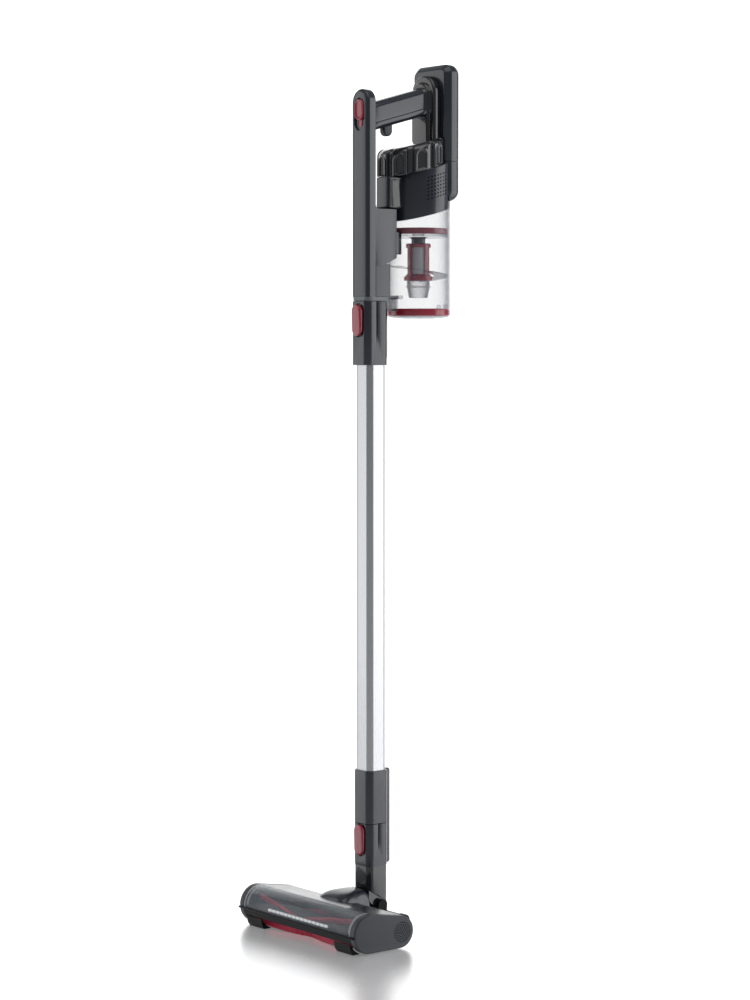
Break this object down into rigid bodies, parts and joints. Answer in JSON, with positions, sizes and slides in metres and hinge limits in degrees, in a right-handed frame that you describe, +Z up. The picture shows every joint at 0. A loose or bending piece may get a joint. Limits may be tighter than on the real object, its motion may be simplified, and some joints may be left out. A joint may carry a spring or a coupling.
{
  "type": "cordless stick vacuum",
  "caption": "Stick vacuum: motorised floor head, jointed neck, square wand, and a handheld unit with grip, clear cyclone dust bin and lift-off battery.",
  "frame": {"origin": "on the floor, under the middle of the whole vacuum's box", "axes": "+Z up along the wand, +X across the floor head to the side with the belt, -Y to the front of the vacuum"},
  "size_m": [0.25, 0.259, 1.1621],
  "materials": {
    "black_plastic": "fine matte",
    "anthracite_plastic": "satin",
    "dark_plastic": "gloss",
    "clear_window": "clear gloss",
    "clear_bin": "clear gloss",
    "red_plastic": "gloss",
    "red_bristle": "nylon bristle",
    "light_board": "satin",
    "steel": "turned",
    "motor_metal": "satin",
    "tube_silver": "satin anodised",
    "belt_rubber": "matte",
    "wheel_rubber": "matte",
    "collar_grey": "satin",
    "filter_cloth": "pleated",
    "filter_foam": "open foam",
    "board_green": "satin",
    "cell_wrap": "satin wrap",
    "mesh_metal": "fine mesh",
    "impeller_alloy": "turned",
    "cable_black": "matte"
  },
  "bodies": {
    "floor_head": {"head_chassis": "black_plastic", "head_cover": "anthracite_plastic", "brush_window": "clear_window", "front_bumper": "black_plastic", "light_strip": "light_board", "left_end_cap": "anthracite_plastic", "right_end_cap": "anthracite_plastic", "front_skids": "black_plastic", "neck_shroud": "anthracite_plastic", "brush_bearings": "steel", "brush_motor": "motor_metal", "drive_belt": "belt_rubber", "rear_axle": "steel", "tilt_pins": "steel", "head_screws": "steel"},
    "brush_roll": {"brush_core": "dark_plastic", "brush_bristles": "red_bristle", "brush_shaft": "steel", "brush_pulley": "dark_plastic"},
    "brush_drive": {"motor_pulley": "steel"},
    "rear_rollers": {"rear_wheels": "wheel_rubber"},
    "elbow_joint": {"elbow": "dark_plastic"},
    "neck": {"neck_socket": "anthracite_plastic"},
    "neck_release": {"neck_button": "red_plastic"},
    "wand": {"lower_fitting": "anthracite_plastic", "wand_tube": "tube_silver", "upper_socket": "anthracite_plastic", "wand_cable": "cable_black"},
    "wand_release": {"wand_button": "red_plastic"},
    "handheld": {"handheld_collar": "collar_grey", "spine": "anthracite_plastic", "inlet_duct": "anthracite_plastic", "motor_housing": "anthracite_plastic", "exhaust_grilles": "anthracite_plastic", "crown": "dark_plastic", "dock": "dark_plastic", "grip_upper": "anthracite_plastic", "grip_lower": "anthracite_plastic", "suction_motor": "motor_metal", "exhaust_filter": "filter_cloth", "pre_filter": "filter_foam", "control_board": "board_green", "trigger_spring": "steel"},
    "power_control": {"power_switch": "red_plastic"},
    "trigger_lever": {"trigger": "anthracite_plastic"},
    "fan": {"impeller": "impeller_alloy"},
    "battery": {"battery_case": "anthracite_plastic", "battery_base": "anthracite_plastic", "battery_cells": "cell_wrap", "charging_jack": "black_plastic"},
    "battery_release": {"battery_latch": "dark_plastic"},
    "dust_bin": {"bin_shell": "clear_bin", "bin_ring": "red_plastic", "cyclone_plate": "dark_plastic", "cyclone_frame": "red_plastic", "cyclone_mesh": "mesh_metal", "cyclone_cone": "clear_bin", "lid_hinge_pin": "steel"},
    "bin_floor": {"bin_lid": "red_plastic"},
    "bin_catch": {"bin_latch": "clear_bin"}
  },
  "joints": [
    {"name": "brush_spin", "type": "hinge", "parent": "floor_head", "child": "brush_roll", "pos_m": [0, -0.10175, 0.0215], "axis": [1, 0, 0], "continuous": true},
    {"name": "brush_drive_spin", "type": "hinge", "parent": "floor_head", "child": "brush_drive", "pos_m": [0.118, -0.04975, 0.0227], "axis": [1, 0, 0], "continuous": true},
    {"name": "roller_spin", "type": "hinge", "parent": "floor_head", "child": "rear_rollers", "pos_m": [0, 0.03875, 0.008], "axis": [1, 0, 0], "continuous": true},
    {"name": "lean_back", "type": "hinge", "parent": "floor_head", "child": "elbow_joint", "pos_m": [0, 0.00175, 0.034], "axis": [-1, 0, 0], "range_deg": [0, 70]},
    {"name": "neck_swivel", "type": "hinge", "parent": "elbow_joint", "child": "neck", "pos_m": [0, 0.00075, 0.0442], "axis": [0, 0.5195, 0.8545], "range_deg": [-45, 45]},
    {"name": "neck_button_press", "type": "slide", "parent": "neck", "child": "neck_release", "axis": [0, 1, 0], "range_m": [0, 0.002], "stiffness_N_per_m": 800, "springref_m": -0.001},
    {"name": "wand_lift", "type": "slide", "parent": "neck", "child": "wand", "axis": [0, 0, 1], "range_m": [0, 0.045]},
    {"name": "wand_button_press", "type": "slide", "parent": "wand", "child": "wand_release", "axis": [0, 1, 0], "range_m": [0, 0.002], "stiffness_N_per_m": 800, "springref_m": -0.001},
    {"name": "handheld_lift", "type": "slide", "parent": "wand", "child": "handheld", "axis": [0, 0, 1], "range_m": [0, 0.045]},
    {"name": "power_switch_slide", "type": "slide", "parent": "handheld", "child": "power_control", "axis": [0, 0, -1], "range_m": [0, 0.012]},
    {"name": "trigger_pull", "type": "slide", "parent": "handheld", "child": "trigger_lever", "axis": [0, 0, 1], "range_m": [0, 0.005], "stiffness_N_per_m": 600, "springref_m": -0.001, "deforming": ["trigger_spring"]},
    {"name": "fan_spin", "type": "hinge", "parent": "handheld", "child": "fan", "pos_m": [0, 0.07075, 1.0091], "axis": [0, 0, 1], "continuous": true},
    {"name": "battery_lift", "type": "slide", "parent": "handheld", "child": "battery", "axis": [0, 0, 1], "range_m": [0, 0.06]},
    {"name": "battery_latch_press", "type": "slide", "parent": "battery", "child": "battery_release", "axis": [0, -1, 0], "range_m": [0, 0.0015], "stiffness_N_per_m": 500, "springref_m": -0.001},
    {"name": "bin_drop", "type": "slide", "parent": "handheld", "child": "dust_bin", "axis": [0, 0, -1], "range_m": [0, 0.08]},
    {"name": "bin_lid_open", "type": "hinge", "parent": "dust_bin", "child": "bin_floor", "pos_m": [0, 0.12625, 0.8311], "axis": [1, 0, 0], "range_deg": [0, 90]},
    {"name": "bin_latch_open", "type": "hinge", "parent": "dust_bin", "child": "bin_catch", "pos_m": [0, 0.03755, 0.849], "axis": [-1, 0, 0], "range_deg": [0, 15], "stiffness_Nm_per_rad": 0.05, "springref_deg": -5.73}
  ],
  "couplings": [
    {"joint": "brush_drive_spin", "follows": "brush_spin", "ratio": 2}
  ]
}
